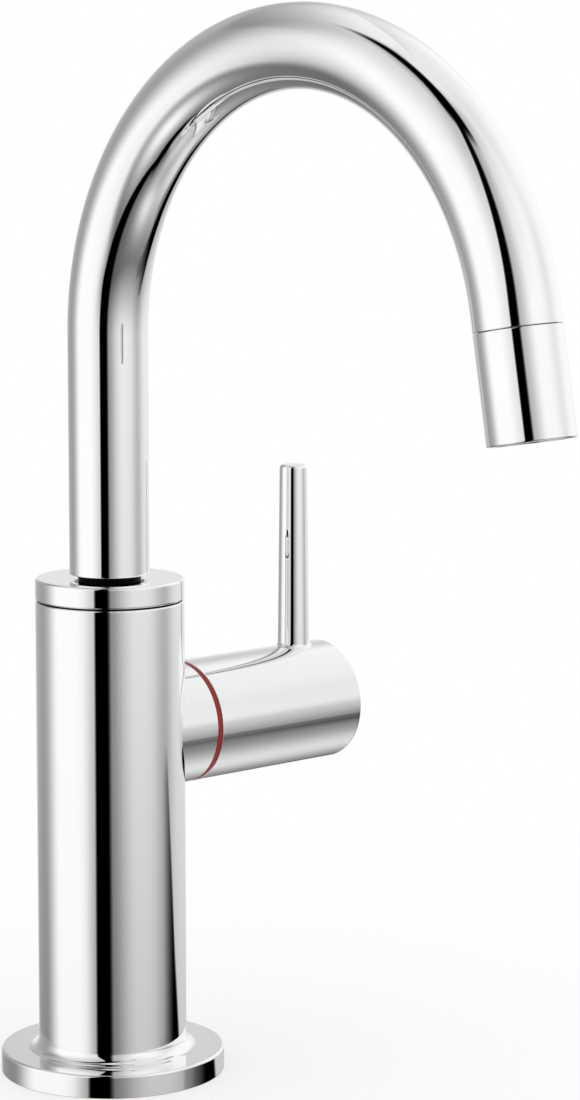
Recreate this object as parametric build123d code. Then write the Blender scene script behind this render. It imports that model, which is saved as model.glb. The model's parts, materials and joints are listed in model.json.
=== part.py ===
from build123d import *
import math
import os

# An instant hot water faucet, in millimetres. The deck is the plane z = 0 and the column stands
# on it about the Z axis. The spout leans over towards -Y and the handle is on the +X side.

# Column and flange
column_radius = 17.75
column_wall = 3.25
flange_radius = 26.85
flange_height = 5.55
flange_web = 3.75
root_round = 2.6
rim_round = 0.6
edge_round = 0.45
gasket_thickness = 2.2
gasket_rim = 4.4

# Heights of the handle's axis, of the column above it and of the cap
handle_height = 82.1
column_rise = 32.3
cap_height = 5.25
cap_skirt = 6.0
cap_round = 0.65
seam_gap = 0.3
seam_depth = 0.85

# Spout
tube_radius = 9.525
tube_wall = 1.2
neck_gap = 0.95
neck_radius = 7.4
leg_length = 56.9
bend_radius = 66.5
bend_angle = 169.6
tail_length = 3.7
outlet_length = 23.7
outlet_wall = 1.15
outlet_lip = 1.4
tube_round = 0.4

# Spigot on which the spout turns
spigot_radius = 5.6
spigot_bore = 3.6
spigot_plug = 10.0
bush_flange = 2.4
bush_step = 1.8
clip_width = 1.0
clip_stand = 2.2
clip_groove = 0.75
clip_mouth = 6.0
pocket_depth = 3.0
ring_section = 0.5
socket_web = 3.4

# Side hub, indicator ring and handle
hub_length = 3.65
indicator_width = 1.2
indicator_recess = 0.1
handle_gap = 0.3
barrel_radius = 14.75
barrel_length = 46.2
barrel_wall = 2.2
barrel_end_wall = 9.0
barrel_round = 0.8
lever_inset = 9.8
lever_root_radius = 3.92
lever_tip_radius = 3.44
lever_rise = 59.9
lever_root_round = 1.0
lever_tip_round = 0.9

# Quarter turn cartridge
housing_wall = 1.85
housing_stand = 1.5
housing_flat = 1.0
housing_flat_length = 3.2
seat_depth = 10.2
seal_thickness = 1.2
disc_thickness = 3.0
port_radius = 1.8
port_margin = 0.6
channel_depth = 1.6
key_width = 2.0
key_depth = 1.2
stem_radius = 4.5
collar_thickness = 3.0
lug_length = 2.4
quarter_turn = 90.0
stem_lug_angle = 90.0
lug_play = 1.0
stem_ring_section = 0.8
spline_radius = 4.0
spline_depth = 0.35
spline_count = 16
cartridge_nut_length = 5.0
cartridge_nut_wall = 2.95
cartridge_nut_gap = 0.6
spanner_slot = 2.6
spanner_depth = 1.5

# Adapter and set screw that join the handle to the stem
adapter_length = 14.0
adapter_shoulder = 1.5
screw_radius = 2.0
screw_recess = 1.2
screw_socket = 1.1
screw_socket_depth = 2.2

# Valve core inside the column
collar_height = 4.0
neck_height = 12.0
neck_wall = 1.6
core_gap = 0.3
waist_cut = 3.6
waist_margin = 6.0
riser_socket = 8.0

# Copper tubes that carry cold water in, cold water to the tank and hot water back
riser_radius = 3.175
riser_wall = 0.9
riser_circle = 6.0
riser_angles = {"cold_inlet_tube": 75, "tank_feed_tube": -75, "hot_return_tube": 180}
riser_tail = 30.0
riser_bead = 0.8
riser_bead_width = 1.2
waterway_radius = 2.0

# Threaded shank and what clamps the faucet to its deck
shank_radius = 12.7
shank_wall = 2.3
shank_length = 62.0
pilot_length = 5.0
pilot_step = 0.8
pilot_chamfer = 0.6
deck_thickness = 30.0
washer_radius = 20.5
rubber_thickness = 2.5
steel_thickness = 1.5
nut_height = 8.0
nut_flats = 36.0
nut_chamfer = 1.2
spacer_thickness = 6.0

# Jet parts in the outlet
washer_height = 2.0
washer_width = 2.2
screen_thickness = 0.5
straightener_length = 6.5
cell_size = 2.2
cell_wall = 0.5
cell_rim = 1.1
nipple_wall = 1.3

# Clearances
fit_gap = 0.05
seat_gap = 0.1
film_gap = 0.03

# Radii on the handle's axis, from the barrel inwards
barrel_bore = barrel_radius - barrel_wall
nut_radius = barrel_bore - cartridge_nut_gap
adapter_radius = barrel_bore - clip_stand - adapter_shoulder
housing_radius = nut_radius - cartridge_nut_wall - fit_gap
housing_bore = housing_radius - housing_wall
disc_radius = housing_bore - core_gap
port_offset = disc_radius - port_radius - port_margin

# Heights worked out from the sizes above
column_bore = column_radius - column_wall
column_height = handle_height + column_rise
cap_top = column_height + cap_height
tube_bottom = cap_top + neck_gap
bend_height = tube_bottom + leg_length
tube_bore = tube_radius - tube_wall
recess_radius = flange_radius - gasket_rim
web_top = gasket_thickness + flange_web
core_bottom = web_top + collar_height
core_roof = core_bottom + neck_height
core_radius = column_bore - core_gap
seam_bottom = column_height - seam_gap / 2
skirt_bottom = column_height - cap_skirt
core_top = skirt_bottom - bush_flange
pocket_floor = core_top - pocket_depth
socket_floor = handle_height + housing_radius + socket_web
socket_length = pocket_floor - socket_floor
clip_top = core_top - pocket_depth / 4
shank_bore = shank_radius - shank_wall
neck_outer = shank_bore + neck_wall
riser_top = core_roof + riser_socket
rubber_top = -deck_thickness
steel_top = rubber_top - rubber_thickness
nut_top = steel_top - steel_thickness

# Places along +X, from the column's axis
seat_floor = core_radius - seat_depth
disc_face = seat_floor + seal_thickness + disc_thickness
collar_face = disc_face + film_gap + disc_thickness + fit_gap
lug_face = collar_face + collar_thickness
shoulder_face = lug_face + lug_length + fit_gap
hub_face = column_radius + hub_length
indicator_face = hub_face + indicator_width
barrel_face = indicator_face + handle_gap
nut_face = indicator_face + cartridge_nut_length
housing_face = nut_face + housing_stand
stem_clip_face = housing_face + seat_gap
adapter_face = stem_clip_face + clip_width + clip_stand
adapter_end = adapter_face + adapter_length
spline_end = adapter_end - seat_gap
barrel_end = barrel_face + barrel_length
lever_place = barrel_end - lever_inset
screw_place = (adapter_face + adapter_end) / 2


def turned(points, rounds=(), bevels=()):
    """Solid turned about Z from (radius, height) points. rounds and bevels hold (point number, size)."""
    outline = make_face(Plane.XZ * Polyline(*points, close=True))
    for ease, corners in ((fillet, rounds), (chamfer, bevels)):
        for number, size in corners:
            spot = Plane.XZ.from_local_coords(points[number])
            outline = ease(outline.vertices().sort_by_distance(spot)[0], size)
    return revolve(outline, Axis.Z)


def ring(inner, outer, bottom, top):
    """Flat ring about Z."""
    return turned([(inner, bottom), (outer, bottom), (outer, top), (inner, top)])


def rod(radius, bottom, top):
    """Plain round bar about Z."""
    return Pos(0, 0, bottom) * Cylinder(radius, top - bottom, align=(Align.CENTER, Align.CENTER, Align.MIN))


def sector(inner, outer, bottom, top, start, sweep_angle):
    """Part of a flat ring about Z, from the start angle through the sweep angle."""
    outline = Plane.XZ * Polyline((inner, bottom), (outer, bottom), (outer, top), (inner, top), close=True)
    return Rot(0, 0, start) * revolve(make_face(outline), Axis.Z, revolution_arc=sweep_angle)


def o_ring(centre_radius, section, height):
    """Seal about Z. Its round section is drawn with eight flats."""
    corners = []
    for number in range(8):
        angle = math.pi * (number + 0.5) / 4
        corners.append((centre_radius + section * math.cos(angle), height + section * math.sin(angle)))
    return turned(corners)


def c_clip(inner, outer, bottom):
    """Flat retaining clip about Z with an open mouth."""
    mouth = Pos(outer, 0, bottom) * Box(2 * outer, clip_mouth, 3 * clip_width)
    return ring(inner, outer, bottom, bottom + clip_width) - mouth


def serration(radius):
    """Outline of a toothed shaft, with its teeth's tips at the radius."""
    step = math.pi / spline_count
    tips = []
    for number in range(2 * spline_count):
        reach = radius - spline_depth * (number % 2)
        tips.append((reach * math.cos(number * step), reach * math.sin(number * step)))
    return make_face(Polyline(*tips, close=True))


def sideways(shape):
    """Carries a shape built about Z onto the handle's axis: its Z becomes +X."""
    return Pos(0, 0, handle_height) * Rot(0, 90, 0) * shape


def groove_points(outer, floor, bottom, top):
    """Four points of a square groove in a turned outline that runs upwards."""
    return [(outer, bottom), (floor, bottom), (floor, top), (outer, top)]


# Column, flange, cap and deck seal


def body_shell():
    """Column with its flange in one piece, bored for the core and recessed for the gasket."""
    shell = turned(
        [
            (recess_radius, 0),
            (flange_radius, 0),
            (flange_radius, flange_height),
            (column_radius, flange_height),
            (column_radius, seam_bottom),
            (column_bore, seam_bottom),
            (column_bore, web_top),
            (shank_radius + fit_gap, web_top),
            (shank_radius + fit_gap, gasket_thickness),
            (recess_radius, gasket_thickness),
        ],
        [(2, rim_round), (3, root_round), (4, edge_round)],
    )
    side_hole = sideways(rod(housing_radius + core_gap, 0, 2 * column_radius))
    return shell - side_hole


def top_cap():
    """Cap with a thin shadow groove under its rim and a skirt that enters the column."""
    bore = neck_radius + fit_gap
    rim = column_radius - seam_depth
    skirt = column_bore - core_gap
    return turned(
        [
            (bore, skirt_bottom),
            (skirt, skirt_bottom),
            (skirt, seam_bottom),
            (rim, seam_bottom),
            (rim, seam_bottom + seam_gap),
            (column_radius, seam_bottom + seam_gap),
            (column_radius, cap_top),
            (bore, cap_top),
        ],
        [(5, edge_round), (6, cap_round)],
    )


def deck_gasket():
    """Flat rubber ring in the recess under the flange."""
    return ring(shank_radius + core_gap, recess_radius - core_gap, 0, gasket_thickness)


# Spout


def spout_path():
    """Centre line of the spout: a leg, a round bend and a short tail, seen from the +X side."""
    centre = (-bend_radius, bend_height)
    leg = Line((0, tube_bottom), (0, bend_height))
    bend = CenterArc(centre, bend_radius, 0, bend_angle)
    tail = Line(bend @ 1, (bend @ 1) + (bend % 1) * tail_length)
    return Plane.YZ * (leg + bend + tail)


def outlet_frame():
    """Plane at the end of the spout tube, with Z along the flow."""
    path = spout_path()
    return Plane(origin=path @ 1, x_dir=(1, 0, 0), z_dir=path % 1)


def spout_tube():
    """Bent tube with its lower edge eased."""
    start = Plane(origin=(0, 0, tube_bottom))
    tube = sweep(start * (Circle(tube_radius) - Circle(tube_bore)), spout_path())
    lower = tube.edges().filter_by(GeomType.CIRCLE).sort_by(Axis.Z)[:2].sort_by(SortBy.RADIUS)[-1]
    upper = tube.edges().filter_by(GeomType.CIRCLE).sort_by_distance(outlet_frame().origin)
    rim = [edge for edge in upper if edge.radius > tube_bore + fit_gap][0]
    return fillet([lower, rim], tube_round / 2)


def spout_bush():
    """Black bearing bush that the spout turns in. Its neck shows between the cap and the tube."""
    wide = neck_radius + bush_step + column_wall
    return turned(
        [
            (spigot_radius + fit_gap, core_top),
            (wide, core_top),
            (wide, skirt_bottom),
            (neck_radius, skirt_bottom),
            (neck_radius, tube_bottom - fit_gap),
            (spigot_radius + fit_gap, tube_bottom - fit_gap),
        ]
    )


def spigot_ring_heights():
    """Heights of the two seals on the spigot, spread over its socket."""
    return [socket_floor + socket_length * share for share in (0.35, 0.75)]


def spout_spigot():
    """Brass plug brazed into the tube, with a spigot below it for two seals and a clip."""
    floor = spigot_radius - 2 * ring_section
    points = [(spigot_bore, socket_floor + seat_gap), (spigot_radius, socket_floor + seat_gap)]
    for height in spigot_ring_heights():
        points += groove_points(spigot_radius, floor, height - ring_section, height + ring_section)
    points += groove_points(spigot_radius, spigot_radius - clip_groove, clip_top - clip_width, clip_top)
    points += [
        (spigot_radius, tube_bottom),
        (tube_bore, tube_bottom),
        (tube_bore, tube_bottom + spigot_plug),
        (spigot_bore, tube_bottom + spigot_plug),
    ]
    return turned(points)


def spigot_seal_rings():
    """Two seals that turn with the spigot."""
    centre = spigot_radius - ring_section
    lower, upper = spigot_ring_heights()
    return o_ring(centre, ring_section, lower) + o_ring(centre, ring_section, upper)


def spout_retaining_clip():
    """Clip in the spigot's groove, under the bush's flange, that keeps the spout in."""
    return c_clip(spigot_radius - clip_groove, spigot_radius + clip_stand, clip_top - clip_width)


# Outlet


def outlet_nipple():
    """Short tube that joins the outlet sleeve to the spout tube and backs the jet parts."""
    outer = tube_bore - fit_gap
    return outlet_frame() * ring(outer - nipple_wall, outer, seat_gap - tail_length, washer_base())


def straightener_base():
    return outlet_length - outlet_lip - straightener_length


def washer_base():
    return straightener_base() - screen_thickness - washer_height


def outlet_sleeve():
    """Sleeve on the spout's end, with a lip that holds the jet parts and an eased edge."""
    bore = tube_radius - outlet_wall
    lip = bore - cell_rim / 2
    body = turned(
        [
            (bore, seat_gap),
            (tube_radius, seat_gap),
            (tube_radius, outlet_length),
            (lip, outlet_length),
            (lip, outlet_length - outlet_lip),
            (bore, outlet_length - outlet_lip),
        ],
        [(2, tube_round)],
        [(1, tube_round / 2)],
    )
    return outlet_frame() * body


def honeycomb(outer, thickness):
    """Round plate filled with six-sided cells, leaving a plain rim."""
    pitch = cell_size + cell_wall
    cells = Sketch()
    for spot in HexLocations(pitch / 2, 9, 9, major_radius=False):
        if spot.position.length < outer - cell_rim - cell_size / 2:
            cells += spot * RegularPolygon(cell_size / 2, 6, major_radius=False)
    return extrude(Circle(outer) - cells, thickness)


def flow_straightener():
    """Honeycomb that smooths the jet."""
    outer = tube_radius - outlet_wall - fit_gap
    return outlet_frame() * Pos(0, 0, straightener_base()) * honeycomb(outer, straightener_length)


def outlet_screen():
    """Thin steel screen behind the honeycomb."""
    outer = tube_radius - outlet_wall - fit_gap
    plate = honeycomb(outer, screen_thickness)
    return outlet_frame() * Pos(0, 0, straightener_base() - screen_thickness) * plate


def outlet_washer():
    """Rubber washer between the nipple and the screen."""
    outer = tube_radius - outlet_wall - fit_gap
    return outlet_frame() * ring(outer - washer_width, outer, washer_base(), washer_base() + washer_height)


# Hub, indicator ring and handle


def side_hub():
    """Short hub whose inner end is cut to sit on the column."""
    stub = sideways(
        turned(
            [
                (housing_radius + seat_gap, 0),
                (barrel_radius, 0),
                (barrel_radius, hub_face),
                (housing_radius + seat_gap, hub_face),
            ],
            bevels=[(2, edge_round / 2)],
        )
    )
    return stub - rod(column_radius, 0, cap_top)


def hot_indicator_ring():
    """Red ring clamped between the hub and the cartridge nut. Its edge shows."""
    outer = barrel_radius - indicator_recess
    return sideways(ring(housing_radius + seat_gap, outer, hub_face, indicator_face))


def lever_handle():
    """Barrel and lever in one piece. The barrel is open towards the column."""
    stop_bore = adapter_radius - adapter_shoulder
    cavity_end = barrel_end - barrel_end_wall
    barrel = sideways(
        turned(
            [
                (barrel_bore, barrel_face),
                (barrel_radius, barrel_face),
                (barrel_radius, barrel_end),
                (0, barrel_end),
                (0, cavity_end),
                (stop_bore, cavity_end),
                (stop_bore, adapter_end),
                (adapter_radius, adapter_end),
                (adapter_radius, adapter_face),
                (barrel_bore, adapter_face),
            ],
            [(2, barrel_round)],
            [(1, edge_round / 2)],
        )
    )
    root = (barrel_radius + stop_bore) / 2
    slope = (lever_root_radius - lever_tip_radius) / (lever_rise - barrel_radius)
    root_radius = lever_root_radius + slope * (barrel_radius - root)
    lever = turned(
        [(0, root), (root_radius, root), (lever_tip_radius, lever_rise), (0, lever_rise)],
        [(2, lever_tip_round)],
    )
    handle = barrel + Pos(lever_place, 0, handle_height) * lever
    foot = handle.edges().group_by(SortBy.LENGTH)
    joint_length = 2 * math.pi * lever_root_radius
    near_foot = Vector(lever_place, 0, handle_height + barrel_radius)
    ends = [edge for group in foot for edge in group if abs(edge.length - joint_length) < joint_length / 8]
    joint = sorted(ends, key=lambda edge: (edge.center() - near_foot).length)[0]
    handle = fillet(joint, lever_root_round)
    return handle - set_screw_hole(barrel_radius)


def set_screw_hole(depth):
    """Hole for the set screw, from the handle's axis down to the given radius and past it."""
    hole = rod(screw_radius + fit_gap, -depth - screw_radius, 0)
    return Pos(screw_place, 0, handle_height) * hole


def handle_set_screw():
    """Set screw under the barrel, with a six-sided socket in its outer end."""
    tip = -spline_radius - fit_gap
    end = -barrel_radius + screw_recess
    screw = rod(screw_radius, end, tip)
    socket = Pos(0, 0, end) * extrude(RegularPolygon(screw_socket, 6, major_radius=False), screw_socket_depth)
    return Pos(screw_place, 0, handle_height) * (screw - socket)


def handle_adapter():
    """Toothed plastic bush that carries the handle on the stem."""
    bush = rod(adapter_radius - fit_gap, adapter_face, adapter_end)
    teeth = Pos(0, 0, adapter_face) * extrude(serration(spline_radius + fit_gap), adapter_length)
    return sideways(bush - teeth) - set_screw_hole(barrel_radius)


# Cartridge


def cartridge_ports(radius, bottom, top):
    """Two round waterways, one each side of the cartridge's axis."""
    port = rod(radius, bottom, top)
    return Pos(0, port_offset, 0) * port + Pos(0, -port_offset, 0) * port


def cartridge_housing():
    """Threaded brass sleeve that holds the discs and the stem, with a lug that stops the stem."""
    groove = housing_radius - 2 * ring_section
    middle = housing_ring_place()
    points = [(housing_bore, seat_floor + fit_gap), (housing_radius, seat_floor + fit_gap)]
    points += groove_points(housing_radius, groove, middle - ring_section, middle + ring_section)
    points += [
        (housing_radius, housing_face),
        (stem_radius + fit_gap, housing_face),
        (stem_radius + fit_gap, shoulder_face),
        (housing_bore, shoulder_face),
    ]
    sleeve = turned(points)
    lug_angle = 360 - quarter_turn - stem_lug_angle - 2 * lug_play
    lug_inner = stem_radius + seat_gap
    lug_outer = housing_bore + housing_wall / 4
    lug = sector(lug_inner, lug_outer, lug_face + fit_gap, shoulder_face + fit_gap, 0, lug_angle)
    sleeve += Rot(0, 0, stem_lug_angle / 2 + quarter_turn + lug_play) * lug
    for side in (1, -1):
        flat = Pos(0, side * housing_radius, housing_face)
        sleeve -= flat * Box(3 * housing_radius, 2 * housing_flat, housing_flat_length / 2)
    return sideways(sleeve)


def housing_ring_place():
    """Place along the handle's axis of the seal between the housing and the core."""
    return seat_floor + seal_thickness + disc_thickness / 2


def housing_seal_ring():
    """Seal in the housing's groove."""
    return sideways(o_ring(housing_radius - ring_section, ring_section, housing_ring_place()))


def cartridge_base_seal():
    """Rubber seal with two ports, under the fixed disc."""
    seal = rod(disc_radius, seat_floor, seat_floor + seal_thickness)
    return sideways(seal - cartridge_ports(port_radius, seat_floor, disc_face))


def fixed_ceramic_disc():
    """Lower disc, with a port each for the water coming in and going out."""
    disc = rod(disc_radius, seat_floor + seal_thickness, disc_face)
    return sideways(disc - cartridge_ports(port_radius, seat_floor, disc_face))


def moving_ceramic_disc():
    """Upper disc. A channel in its face joins the two ports once it has turned a quarter."""
    face = disc_face + film_gap
    disc = rod(disc_radius, face, face + disc_thickness)
    channel = Pos(0, 0, face) * extrude(SlotOverall(2 * (port_offset + port_radius), 2 * port_radius), channel_depth)
    back = face + disc_thickness - key_depth - fit_gap
    slot_width = key_width + 2 * fit_gap
    slot = Pos(0, 0, back) * extrude(Rectangle(slot_width, 3 * disc_radius), disc_thickness)
    return sideways(disc - channel - slot)


def cartridge_stem():
    """Stem with its key, drive collar, stop lug, seal grooves, clip groove and toothed end."""
    floor = stem_radius - 2 * stem_ring_section
    points = [(0, collar_face), (housing_bore - seat_gap, collar_face), (housing_bore - seat_gap, lug_face)]
    points += [(stem_radius, lug_face)]
    for place in stem_ring_places():
        points += groove_points(stem_radius, floor, place - stem_ring_section, place + stem_ring_section)
    clip_floor = spline_radius - clip_groove
    points += [
        (stem_radius, housing_face),
        (spline_radius, housing_face),
        (spline_radius, stem_clip_face),
        (clip_floor, stem_clip_face),
        (clip_floor, stem_clip_face + clip_width),
        (spline_radius - spline_depth, stem_clip_face + clip_width),
        (spline_radius - spline_depth, adapter_face),
        (0, adapter_face),
    ]
    stem = turned(points)
    stem += Pos(0, 0, adapter_face) * extrude(serration(spline_radius), spline_end - adapter_face)
    key = Pos(0, 0, collar_face - key_depth) * extrude(Rectangle(key_width, 2 * disc_radius), key_depth)
    stem += key
    lug = sector(stem_radius - fit_gap, housing_bore - seat_gap, lug_face, shoulder_face - fit_gap, 0, stem_lug_angle)
    stem += Rot(0, 0, -stem_lug_angle / 2) * lug
    return sideways(stem)


def stem_ring_places():
    """Places of the two seals on the stem, spread over its bearing length."""
    length = housing_face - shoulder_face
    return [shoulder_face + length * share for share in (0.3, 0.65)]


def stem_seal_rings():
    """Two seals that turn with the stem."""
    centre = stem_radius - stem_ring_section
    inner, outer = stem_ring_places()
    rings = o_ring(centre, stem_ring_section, inner) + o_ring(centre, stem_ring_section, outer)
    return sideways(rings)


def stem_retaining_clip():
    """Clip in the stem's groove, outside the housing."""
    return sideways(c_clip(spline_radius - clip_groove, spline_radius + clip_stand, stem_clip_face))


def cartridge_nut():
    """Round nut with spanner slots that clamps the indicator ring and the hub to the column."""
    nut = ring(housing_radius + fit_gap, nut_radius, indicator_face, nut_face)
    for turn in range(4):
        slot = Pos(nut_radius, 0, nut_face) * Box(2 * spanner_depth, spanner_slot, cartridge_nut_length)
        nut -= Rot(0, 0, 90 * turn) * slot
    return sideways(nut)


# Valve core and water tubes


def riser_spot(name):
    """Place of one copper tube on the shank's circle."""
    angle = math.radians(riser_angles[name])
    return Pos(riser_circle * math.cos(angle), riser_circle * math.sin(angle), 0)


def valve_core():
    """Brass core: a socket for the spigot, a seat for the cartridge and the waterways between."""
    socket = spigot_radius + fit_gap
    pocket = spigot_radius + clip_stand + core_gap
    waist_low = riser_top + waist_margin
    waist_high = handle_height - housing_radius - waist_margin
    core = turned(
        [
            (0, core_roof),
            (neck_outer + fit_gap, core_roof),
            (neck_outer + fit_gap, core_bottom),
            (core_radius, core_bottom),
            (core_radius, waist_low - waist_margin / 2),
            (core_radius - waist_cut, waist_low),
            (core_radius - waist_cut, waist_high),
            (core_radius, waist_high + waist_margin / 2),
            (core_radius, core_top),
            (pocket, core_top),
            (pocket, pocket_floor),
            (socket, pocket_floor),
            (socket, socket_floor),
            (0, socket_floor),
        ]
    )
    core -= sideways(rod(housing_radius + fit_gap, seat_floor, 2 * core_radius))
    for name in riser_angles:
        core -= riser_spot(name) * rod(riser_radius + fit_gap, core_roof, riser_top)
    for name in ("cold_inlet_tube", "tank_feed_tube"):
        core -= riser_spot(name) * rod(waterway_radius, riser_top, handle_height + waterway_radius)
    core -= riser_spot("hot_return_tube") * rod(waterway_radius, riser_top, socket_floor + ring_section)
    core -= sideways(cartridge_ports(port_radius, 0, seat_floor))
    return core


def riser_tube(name):
    """One copper tube, from its socket in the core down past the shank. A bead stops it at the spacer."""
    bottom = -shank_length - riser_tail
    inner = riser_radius - riser_wall
    bead = riser_radius + riser_bead
    tube = turned(
        [
            (inner, bottom),
            (riser_radius, bottom),
            (riser_radius, -shank_length - riser_bead_width),
            (bead, -shank_length - riser_bead_width),
            (bead, -shank_length),
            (riser_radius, -shank_length),
            (riser_radius, riser_top),
            (inner, riser_top),
        ],
        bevels=[(1, riser_wall / 3), (3, riser_bead_width / 3), (4, riser_bead_width / 3)],
    )
    return riser_spot(name) * tube


def tube_spacer():
    """Plastic plug that holds the three tubes apart in the shank's end."""
    plug = rod(shank_bore - fit_gap, -shank_length, spacer_thickness - shank_length)
    for name in riser_angles:
        plug -= riser_spot(name) * rod(riser_radius + fit_gap, -shank_length, 0)
    return plug


# Shank and deck clamp


def mounting_shank():
    """Hollow shank with a plain pilot at its end, a collar on the web and a neck in the core."""
    pilot = shank_radius - pilot_step
    points = [
        (shank_bore, -shank_length),
        (pilot, -shank_length),
        (pilot, pilot_length - shank_length),
        (shank_radius, pilot_length - shank_length),
        (shank_radius, web_top),
        (column_bore - fit_gap, web_top),
        (column_bore - fit_gap, core_bottom),
        (neck_outer, core_bottom),
        (neck_outer, core_roof),
        (shank_bore, core_roof),
    ]
    shank = turned(points)
    edges = shank.edges().filter_by(GeomType.CIRCLE).sort_by(Axis.Z)[:2]
    return chamfer(edges.sort_by(SortBy.RADIUS)[-1], pilot_chamfer)


def rubber_washer():
    """Rubber washer under the deck."""
    return ring(shank_radius + core_gap, washer_radius, steel_top, rubber_top)


def steel_washer():
    """Steel washer between the rubber and the nut."""
    return ring(shank_radius + core_gap, washer_radius, nut_top, steel_top)


def mounting_nut():
    """Six-sided nut on the shank, its corners chamfered at both ends."""
    corner = nut_flats / math.sqrt(3)
    blank = Pos(0, 0, nut_top - nut_height) * extrude(RegularPolygon(nut_flats / 2, 6, major_radius=False), nut_height)
    low = nut_top - nut_height
    bevel = nut_chamfer * math.tan(math.radians(30))
    envelope = turned(
        [
            (0, low),
            (corner - nut_chamfer, low),
            (corner, low + bevel),
            (corner, nut_top - bevel),
            (corner - nut_chamfer, nut_top),
            (0, nut_top),
        ]
    )
    return (blank & envelope) - rod(shank_radius + fit_gap, low, nut_top)


pieces = {
    "body_shell": body_shell,
    "top_cap": top_cap,
    "deck_gasket": deck_gasket,
    "spout_tube": spout_tube,
    "spout_bush": spout_bush,
    "spout_spigot": spout_spigot,
    "spigot_seal_rings": spigot_seal_rings,
    "spout_retaining_clip": spout_retaining_clip,
    "outlet_nipple": outlet_nipple,
    "outlet_sleeve": outlet_sleeve,
    "flow_straightener": flow_straightener,
    "outlet_screen": outlet_screen,
    "outlet_washer": outlet_washer,
    "side_hub": side_hub,
    "hot_indicator_ring": hot_indicator_ring,
    "lever_handle": lever_handle,
    "handle_set_screw": handle_set_screw,
    "handle_adapter": handle_adapter,
    "cartridge_housing": cartridge_housing,
    "housing_seal_ring": housing_seal_ring,
    "cartridge_base_seal": cartridge_base_seal,
    "fixed_ceramic_disc": fixed_ceramic_disc,
    "moving_ceramic_disc": moving_ceramic_disc,
    "cartridge_stem": cartridge_stem,
    "stem_seal_rings": stem_seal_rings,
    "stem_retaining_clip": stem_retaining_clip,
    "cartridge_nut": cartridge_nut,
    "valve_core": valve_core,
    "tube_spacer": tube_spacer,
    "mounting_shank": mounting_shank,
    "rubber_washer": rubber_washer,
    "steel_washer": steel_washer,
    "mounting_nut": mounting_nut,
}

os.makedirs("parts", exist_ok=True)
for name, make in pieces.items():
    export_step(make(), f"parts/{name}.step")
for name in riser_angles:
    export_step(riser_tube(name), f"parts/{name}.step")
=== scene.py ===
import json
import math
from functools import reduce

import bmesh
import bpy
import numpy as np
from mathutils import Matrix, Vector


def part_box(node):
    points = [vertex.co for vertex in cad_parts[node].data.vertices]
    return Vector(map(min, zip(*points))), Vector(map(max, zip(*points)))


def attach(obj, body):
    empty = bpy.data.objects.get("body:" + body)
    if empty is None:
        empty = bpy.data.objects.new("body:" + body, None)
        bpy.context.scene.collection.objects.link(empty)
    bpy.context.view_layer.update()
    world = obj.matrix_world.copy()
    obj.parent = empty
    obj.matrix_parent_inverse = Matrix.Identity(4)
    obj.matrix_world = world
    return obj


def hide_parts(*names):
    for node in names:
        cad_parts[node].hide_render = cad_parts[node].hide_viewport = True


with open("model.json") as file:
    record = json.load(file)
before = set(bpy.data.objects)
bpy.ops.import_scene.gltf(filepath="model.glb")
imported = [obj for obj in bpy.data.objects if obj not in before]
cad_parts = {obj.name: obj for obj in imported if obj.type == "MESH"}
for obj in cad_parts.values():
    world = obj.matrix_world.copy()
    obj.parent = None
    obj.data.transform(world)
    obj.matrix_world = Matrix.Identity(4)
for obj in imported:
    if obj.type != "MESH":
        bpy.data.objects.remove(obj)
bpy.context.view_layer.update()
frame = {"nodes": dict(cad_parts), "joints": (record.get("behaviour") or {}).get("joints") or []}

# An instant hot water faucet standing on a pale deck. The dictionaries hold millimetres, and
# buildPiece turns them into metres. The deck is z = 0, the handle is on +X, the spout leans to -Y.

print("frame loaded,", len(frame["nodes"]), "CAD nodes")


# How finely surfaces are divided
fineness = {
    "guard": 0.03,        # a row this far beside every rounded edge keeps the flat next to it flat
    "arcSteps": 5,        # steps across a very small rounded edge
    "arcStepsPerMm": 10,  # more steps for each millimetre of its radius
    "around": 192,        # faces round a turned part
    "sharpAngle": 28,     # degrees at which two faces meet in a crisp edge
    "weld": 1e-4,         # points closer than this become one
    "weldShift": 0.137,   # share of it by which the welding grid is moved off round numbers
    "touch": 1e-6,        # points this near to a place are taken to be on it
    "shadeReach": 0.01,   # how far the dark of a seam goes on past its edge
}


def smoothStep(value, low, high):
    # 0 up to low, 1 from high, and a smooth step between; it falls where low is above high
    share = np.clip((value - low) / (high - low), 0, 1)
    return share * share * (3 - 2 * share)


def span(node):
    # lowest and highest corner of a CAD node, in millimetres
    low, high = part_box(node)
    return np.array(low) * 1000, np.array(high) * 1000


def outline(corners, closed=True):
    # Points of an outline in (radius, height). A corner with a third value is eased by an arc of
    # that radius: the arc touches both sides, its points stand at equal angles, and a guard point
    # lies on the side before and after it.
    points = np.array([corner[:2] for corner in corners], float)
    stretches = []
    for number, corner in enumerate(corners):
        here = points[number]
        if len(corner) < 3:
            stretches.append(here[None])
            continue
        ease = corner[2]
        before = points[number - 1] - here
        after = points[(number + 1) % len(points)] - here
        before = before / np.linalg.norm(before)
        after = after / np.linalg.norm(after)
        half = math.acos(before @ after) / 2
        run = ease / math.tan(half)
        bisector = (before + after) / np.linalg.norm(before + after)
        middle = here + bisector * ease / math.sin(half)
        start = here + before * run - middle
        end = here + after * run - middle
        turn = math.pi - 2 * half
        steps = int(fineness["arcSteps"] + fineness["arcStepsPerMm"] * ease)
        share = np.linspace(0, 1, steps + 1)[:, None]
        arc = np.sin((1 - share) * turn) * start + np.sin(share * turn) * end
        arc = middle + arc / math.sin(turn)
        guardBefore = here + before * (run + fineness["guard"])
        guardAfter = here + after * (run + fineness["guard"])
        stretches.append(np.vstack([guardBefore, arc, guardAfter]))
    path = np.vstack(stretches)
    return np.vstack([path, path[:1]]) if closed else path


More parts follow.
